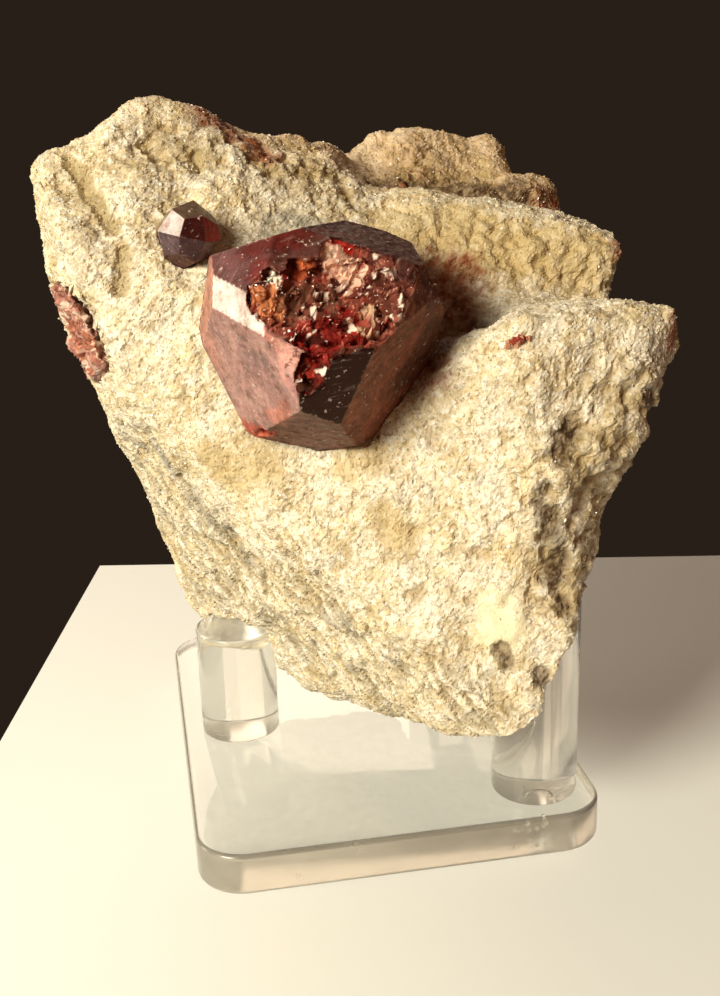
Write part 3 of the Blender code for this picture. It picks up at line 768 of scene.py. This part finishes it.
def make_grains(rock, number, neighbours):
    """Small blocky crystals of feldspar and quartz that stand out of the rock's skin."""
    random = np.random.default_rng(40 + number)
    places, outward, corner = scatter(rock, GRAINS_PER_PIECE, random)
    smooth = read_mask(rock, "feldspar")[corner] > 0.4
    keep = away_from(neighbours, places, GRAIN_CLEARANCE) & ~smooth
    places, outward, corner = places[keep], outward[keep], corner[keep]
    count = len(places)
    low, high = GRAIN_SIZE
    size = low + (high - low) * random.beta(1.6, 3.2, size=count)
    shape = size[:, None] * random.uniform((0.8, 0.6, 0.5), (1.3, 1.0, 0.8), size=(count, 3))
    skewed = GRAIN_CORNERS[None] * shape[:, None, :]
    skewed[:, :, 0] += skewed[:, :, 1] * random.uniform(-0.4, 0.4, size=(count, 1))
    turned = np.einsum("nij,nkj->nki", random_turns(count, random), skewed)
    centres = places - outward * size[:, None] * random.uniform(0.1, 0.35, size=(count, 1))
    name = f"rock_grains_{number}"
    mesh = solid_mesh(name, turned + centres[:, None, :], GRAIN_FACES)
    for kind in PATCH_KINDS + ("layer", "low", "back"):
        write_mask(mesh, kind, np.repeat(read_mask(rock, kind)[corner], 8))
    write_mask(mesh, "lot", np.repeat(random.uniform(size=count), 8))
    return new_piece(name, mesh, "matrix_look", "pale_matrix")


def make_mica(rock, neighbours):
    """Thin flakes of mica that glint in the rock."""
    random = np.random.default_rng(77)
    places, outward, _ = scatter(rock, MICA_FLAKES, random)
    clear = away_from(neighbours, places, MICA_CLEARANCE)
    centres = places[clear] + outward[clear] * 0.03
    mesh = plates_mesh("mica_flakes", centres, MICA_SIZE, MICA_THICKNESS, random)
    return new_piece("mica_flakes", mesh, "mica_look", "pale_matrix")


# ---------------------------------------------------------------- stand

def rounded_solid(name, outline, bottom, top, rounding, haze):
    """A clear upright solid with rounded rims; outline gives its corners at an inset."""
    quarter = [pi / 2 * step / RIM_STEPS for step in range(RIM_STEPS + 1)]
    profile = [(rounding * (1 - sin(angle)), bottom + rounding * (1 - cos(angle))) for angle in quarter]
    profile += [(rounding * (1 - cos(angle)), top - rounding * (1 - sin(angle))) for angle in quarter]
    shape = bmesh.new()
    rings = [[shape.verts.new(mm(x, y, height)) for x, y in outline(inset)] for inset, height in profile]
    count = len(rings[0])
    for lower, upper in zip(rings, rings[1:]):
        for step in range(count):
            following = (step + 1) % count
            shape.faces.new((lower[step], lower[following], upper[following], upper[step]))
    shape.faces.new(list(reversed(rings[0])))
    shape.faces.new(rings[-1])
    mesh = mesh_of(name, shape)
    values = np.full((len(rings), count), haze[1])
    values[0] = haze[0]
    values[-1] = haze[2]
    write_mask(mesh, "haze", values.ravel())
    mesh.shade_smooth()
    mesh.set_sharp_from_angle(angle=radians(50))
    return mesh


def corner_arc(x, y, radius, start, steps):
    """A quarter of a circle, from the start, which is in quarter turns."""
    angles = [pi / 2 * (start + step / steps) for step in range(steps + 1)]
    return [(x + radius * cos(angle), y + radius * sin(angle)) for angle in angles]


def make_pegs():
    pegs = []
    for node in ("short_peg", "front_tall_peg", "back_tall_peg"):
        low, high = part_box(node)
        centre = (low + high) / 2 / MM
        radius = (high.x - low.x) / 2 / MM

        def outline(inset):
            quarters = [corner_arc(centre.x, centre.y, radius - inset, start, 24)[:-1] for start in range(4)]
            return sum(quarters, [])

        mesh = rounded_solid(node + "_rod", outline, low.z / MM, high.z / MM, PEG_ROUNDING, PEG_HAZE)
        pegs.append(new_piece(node + "_rod", mesh, "acrylic_look", "clear_acrylic", node))
    return pegs


def make_plate():
    _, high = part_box("base_plate")
    x, y = high.x / MM - PLATE_CORNER_RADIUS, high.y / MM - PLATE_CORNER_RADIUS

    def outline(inset):
        middles = ((x, y), (-x, y), (-x, -y), (x, -y))
        return sum([corner_arc(*middle, PLATE_CORNER_RADIUS - inset, start, 16)
                    for start, middle in enumerate(middles)], [])

    mesh = rounded_solid("base_plate_sheet", outline, 0.0, high.z / MM, PLATE_ROUNDING, PLATE_HAZE)
    return new_piece("base_plate_sheet", mesh, "acrylic_look", "clear_acrylic", "base_plate")


def make_bubbles():
    """Air in the glue under the front tall peg, and a few bubbles at the plate's front rim."""
    random = np.random.default_rng(12)
    shape = bmesh.new()
    x, y, z = BUBBLE_ARCH_MIDDLE
    bubbles = []
    for step in range(BUBBLE_ARCH_STEPS + 1):
        angle = pi * step / BUBBLE_ARCH_STEPS
        place = (x - BUBBLE_ARCH_HALF_WIDTH * cos(angle), y, z + BUBBLE_ARCH_HEIGHT * sin(angle))
        bubbles.append((place, BUBBLE_ARCH_RADII))
    for _ in range(RIM_BUBBLES):
        size = random.uniform(*RIM_BUBBLE_SIZE)
        bubbles.append((tuple(random.uniform(*RIM_BUBBLE_CORNERS)), (size, size, size)))
    for place, radii in bubbles:
        bubble = Matrix.Translation(mm(*place)) @ Matrix.Diagonal((*mm(*radii), 1.0))
        bmesh.ops.create_icosphere(shape, subdivisions=3, radius=1.0, matrix=bubble)
    bmesh.ops.reverse_faces(shape, faces=shape.faces)  # the clear plastic is on the outside
    mesh = mesh_of("air_bubbles", shape)
    write_mask(mesh, "haze", np.zeros(len(mesh.vertices)))
    mesh.shade_smooth()
    return new_piece("air_bubbles", mesh, "acrylic_look", "clear_acrylic")


# ---------------------------------------------------------------- materials

def new_material(name):
    material = bpy.data.materials.new(name)
    material.use_nodes = True
    return material.node_tree, material.node_tree.nodes["Principled BSDF"]


def feed(tree, node, inputs):
    """Set or link a node's inputs by name or number."""
    for key, value in inputs.items():
        if isinstance(value, bpy.types.NodeSocket):
            tree.links.new(value, node.inputs[key])
        else:
            node.inputs[key].default_value = value


def put(tree, kind, inputs=None, **settings):
    """Add a node with these settings and inputs."""
    made = tree.nodes.new(kind)
    for key, value in settings.items():
        setattr(made, key, value)
    feed(tree, made, inputs or {})
    return made


def mask(tree, name):
    return put(tree, "ShaderNodeAttribute", attribute_name=name).outputs["Fac"]


def painted(tree, name):
    return put(tree, "ShaderNodeAttribute", attribute_name=name).outputs["Color"]


def blend(tree, factor, first, second, mode="MIX"):
    """Mix two colours by a factor; each may be a colour or a socket."""
    first, second = (value if isinstance(value, bpy.types.NodeSocket) else (*value, 1.0)
                     for value in (first, second))
    made = put(tree, "ShaderNodeMix", {0: factor, 6: first, 7: second}, data_type="RGBA", blend_type=mode)
    return made.outputs[2]


def grey(tree, value):
    return put(tree, "ShaderNodeCombineColor", {0: value, 1: value, 2: value}).outputs[0]


def scale_range(tree, value, low, high, least=0.0, most=1.0):
    made = put(tree, "ShaderNodeMapRange", {"Value": value, "From Min": low, "From Max": high,
                                            "To Min": least, "To Max": most})
    return made.outputs["Result"]


def figure(tree, operation, first, second):
    return put(tree, "ShaderNodeMath", {0: first, 1: second}, operation=operation).outputs[0]


def times(tree, value, amount):
    return figure(tree, "MULTIPLY", value, amount)


def speckle(tree, scale, detail=4.0, roughness=0.6, space=None):
    """Noise in the object's own space or the one given; scale is lumps per metre."""
    space = space or put(tree, "ShaderNodeTexCoord").outputs["Object"]
    return put(tree, "ShaderNodeTexNoise", {"Vector": space, "Scale": scale, "Detail": detail,
                                            "Roughness": roughness}).outputs["Fac"]


def spots(tree, scale, low, high, least=0.0, most=1.0, detail=4.0, roughness=0.6):
    """A value from least to most, as noise of the scale goes from low to high."""
    return scale_range(tree, speckle(tree, scale, detail, roughness), low, high, least, most)


def bump(tree, height, strength, distance):
    made = put(tree, "ShaderNodeBump", {"Height": height, "Strength": strength, "Distance": distance})
    return made.outputs["Normal"]


def lay_patch(tree, colour, name, least, most, decide, patch_colour):
    """Lay a patch's colour over the rock's, evenly or by a speckle."""
    amount = most
    if decide:
        scale, detail, low, high = decide
        amount = spots(tree, scale, low, high, least, most, detail)
    return blend(tree, times(tree, mask(tree, name), amount), colour, patch_colour)


def matrix_material():
    tree, shader = new_material("matrix_look")
    colour = ROCK_BASE_COLOUR
    for scale, detail, roughness, low, high, most, spot_colour in ROCK_SPECKLES:
        amount = spots(tree, scale, low, high, 0.0, most, detail, roughness)
        colour = blend(tree, amount, colour, spot_colour)
    colour = lay_patch(tree, colour, *STAINED_COLOUR)
    tone = scale_range(tree, mask(tree, "lot"), 0.0, 1.0, 0.86, 1.0)
    colour = blend(tree, 1.0, colour, grey(tree, tone), "MULTIPLY")
    colour = blend(tree, times(tree, mask(tree, "back"), 0.85), colour, BACK_TINT, "MULTIPLY")
    for patch in PATCH_COLOURS:
        colour = lay_patch(tree, colour, *patch)
    dark = spots(tree, 1500.0, 0.66, 0.72, 0.0, 0.35, 2.0)
    feed(tree, shader, {
        "Base Color": blend(tree, dark, colour, DARK_SPECK_COLOUR),
        "Roughness": spots(tree, 900.0, 0.4, 0.6, 0.30, 0.65, 2.0),
        "Normal": bump(tree, speckle(tree, 2600.0, 5.0, 0.7), 1.0, 0.16 * MM),
    })


def mica_material():
    tree, shader = new_material("mica_look")
    colour = blend(tree, spots(tree, 240.0, 0.4, 0.6), (0.70, 0.64, 0.50), (0.85, 0.83, 0.78))
    feed(tree, shader, {"Base Color": colour, "Roughness": 0.16, "IOR": 1.6, "Coat Weight": 0.6})


def splinter_material():
    tree, shader = new_material("splinter_painted_glint_look")
    # Mostly pale pink and white in place of red garnet: painted glints on the splinters.
    colour = blend(tree, spots(tree, 700.0, 0.40, 0.60), (0.50, 0.20, 0.13), (0.90, 0.76, 0.66))
    feed(tree, shader, {"Base Color": colour, "Roughness": 0.14, "IOR": 1.76})


def garnet_material():
    """Faces painted with their light and shade under scratches, clouds and specks, and the chips' own
    colours in the breaks.
    """
    tree, shader = new_material("garnet_look")
    space = put(tree, "ShaderNodeTexCoord").outputs["Object"]
    turned = put(tree, "ShaderNodeMapping", {"Vector": space, "Rotation": SCRATCH_TURN,
                                             "Scale": SCRATCH_STRETCH}, vector_type="TEXTURE")
    scratches = speckle(tree, 1100.0, 5.0, 0.6, turned.outputs["Vector"])
    # The scratches are drawn pale: painted highlight lines along them.
    pale = scale_range(tree, scratches, 0.58, 0.74, 0.0, 0.30)
    face = blend(tree, pale, painted(tree, "face_colour_and_painted_light"), (0.66, 0.50, 0.45))
    face = blend(tree, spots(tree, 190.0, 0.46, 0.60, 0.0, 0.45), face, (0.62, 0.56, 0.62), "MULTIPLY")
    clouds = grey(tree, spots(tree, 380.0, 0.36, 0.64, 0.42, 1.50, 7.0, 0.8))
    face = blend(tree, 1.0, face, clouds, "MULTIPLY")
    blots = spots(tree, 800.0, 0.54, 0.66, 0.0, 0.65, 5.0, 0.75)
    face = blend(tree, blots, face, (0.42, 0.22, 0.20), "MULTIPLY")
    face = blend(tree, spots(tree, 1500.0, 0.63, 0.70, 0.0, 0.8, 3.0), face, (0.60, 0.48, 0.42))
    dull = figure(tree, "ADD", mask(tree, "frost"), spots(tree, 1200.0, 0.4, 0.6, -0.05, 0.12))
    uneven = figure(tree, "ADD", times(tree, scratches, 0.35), speckle(tree, 1400.0, 5.0, 0.7))
    feed(tree, shader, {
        "Base Color": blend(tree, mask(tree, "broken"), face, painted(tree, "chip_colour")),
        "Roughness": figure(tree, "SUBTRACT", dull, times(tree, mask(tree, "broken"), 0.14)),
        "IOR": 1.52,
        # A reddish tint on the reflections stands in for the warm room they would show: painted reflection.
        "Specular Tint": (1.0, 0.50, 0.36, 1.0),
        "Specular IOR Level": 0.4,
        "Subsurface Weight": 0.2,
        "Subsurface Radius": (1.0, 0.10, 0.06),
        "Subsurface Scale": 1.5 * MM,
        "Normal": bump(tree, uneven, 0.30, 0.2 * MM),
    })


def acrylic_material():
    """Clear plastic; haze makes it duller and browner."""
    tree, shader = new_material("acrylic_look")
    haze = mask(tree, "haze")
    scratches = spots(tree, 220.0, 0.45, 0.75, 0.0, 0.12, 6.0)
    clear = figure(tree, "SUBTRACT", 1.0, times(tree, haze, 0.40))
    feed(tree, shader, {
        "Base Color": blend(tree, haze, (0.990, 0.980, 0.950), (0.42, 0.37, 0.28)),
        "IOR": 1.49,
        "Transmission Weight": figure(tree, "SUBTRACT", clear, times(tree, scratches, 0.3)),
        "Roughness": figure(tree, "ADD", times(tree, haze, 0.22), scratches),
    })


def paper_material():
    tree, shader = new_material("pale_paper")
    feed(tree, shader, {"Base Color": (0.82, 0.825, 0.81, 1.0), "Roughness": 0.55})


# ---------------------------------------------------------------- stage, light and camera

def make_floor():
    shape = bmesh.new()
    bmesh.ops.create_cube(shape, size=1.0)
    size = mm(FLOOR_RIGHT - FLOOR_LEFT, FLOOR_BACK - FLOOR_FRONT, FLOOR_THICKNESS)
    bmesh.ops.scale(shape, vec=size, verts=shape.verts)
    middle = mm((FLOOR_RIGHT + FLOOR_LEFT) / 2, (FLOOR_BACK + FLOOR_FRONT) / 2,
                -FLOOR_THICKNESS / 2 - FLOOR_DROP)
    bmesh.ops.translate(shape, vec=middle, verts=shape.verts)
    mesh = mesh_of("floor", shape)
    floor = put_in_scene("floor", mesh)
    floor.rotation_euler.z = radians(FLOOR_TURN)
    mesh.materials.append(bpy.data.materials["pale_paper"])


def add_light(name, place, target, size, power, colour):
    lamp = bpy.data.lights.new(name, "AREA")
    lamp.shape = "RECTANGLE"
    lamp.size = size[0] * MM
    lamp.size_y = size[1] * MM
    lamp.energy = power
    lamp.color = colour
    holder = put_in_scene(name, lamp)
    holder.location = mm(*place)
    holder.rotation_euler = (mm(*target) - mm(*place)).to_track_quat("-Z", "Y").to_euler()


def light_the_stage():
    warm = (1.0, 0.93, 0.74)
    amber = (1.0, 0.50, 0.28)
    add_light("key", (-410, -355, 320), (0, 0, 55), (230, 230), 6.2, warm)
    add_light("left_card", (-480, 120, 125), (-15, -20, 78), (120, 170), 0.7, warm)
    add_light("fill", (260, -430, 260), (0, 0, 50), (400, 400), 0.35, amber)
    add_light("back", (-60, 460, 300), (0, 0, 50), (400, 400), 1.3, (1.0, 0.82, 0.64))
    world = bpy.data.worlds.new("studio")
    bpy.context.scene.world = world
    world.use_nodes = True
    background = world.node_tree.nodes["Background"]
    background.inputs["Color"].default_value = (0.021, 0.014, 0.009, 1.0)
    background.inputs["Strength"].default_value = 1.0


def make_camera():
    pitch, yaw, roll = radians(CAMERA_PITCH), radians(CAMERA_YAW), radians(CAMERA_ROLL)
    forward = Vector((-sin(yaw) * cos(pitch), cos(yaw) * cos(pitch), -sin(pitch)))
    level = forward.cross(Vector((0, 0, 1))).normalized()
    upright = level.cross(forward)
    right = cos(roll) * level + sin(roll) * upright
    up = -sin(roll) * level + cos(roll) * upright
    lens = bpy.data.cameras.new("camera")
    lens.lens = CAMERA_LENS
    lens.sensor_width = 36.0
    lens.clip_start = 0.005
    camera = put_in_scene("camera", lens)
    matrix = Matrix((right, up, -forward)).transposed().to_4x4()
    matrix.translation = mm(*CAMERA_PLACE)
    camera.matrix_world = matrix
    bpy.context.scene.camera = camera


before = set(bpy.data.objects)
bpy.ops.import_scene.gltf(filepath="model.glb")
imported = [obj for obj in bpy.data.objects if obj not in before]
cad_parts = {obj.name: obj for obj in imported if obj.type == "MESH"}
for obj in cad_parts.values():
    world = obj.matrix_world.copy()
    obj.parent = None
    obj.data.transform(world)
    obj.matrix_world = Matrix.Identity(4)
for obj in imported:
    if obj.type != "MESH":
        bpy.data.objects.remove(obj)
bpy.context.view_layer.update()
bpy.context.scene.view_settings.view_transform = "Standard"
bpy.context.scene.cycles.caustics_refractive = False
make_camera()
light_the_stage()
for make_look in (paper_material, acrylic_material, garnet_material, splinter_material, matrix_material,
                  mica_material):
    make_look()
make_floor()
for clear_piece in [make_plate(), make_bubbles()] + make_pegs():
    clear_piece.visible_shadow = False
large_garnet = make_large_garnet()
make_glints(large_garnet)
garnets = [large_garnet, make_small_garnet(), make_edge_garnet()]
garnet_trees = [tree_of(garnet.data) for garnet in garnets]
rock = make_rock(garnet_trees)
for grain_piece in range(1, GRAIN_PIECES + 1):
    make_grains(rock, grain_piece, garnet_trees)
make_mica(rock, garnet_trees)
make_red_grain(tree_of(rock))
bpy.data.meshes.remove(rock)
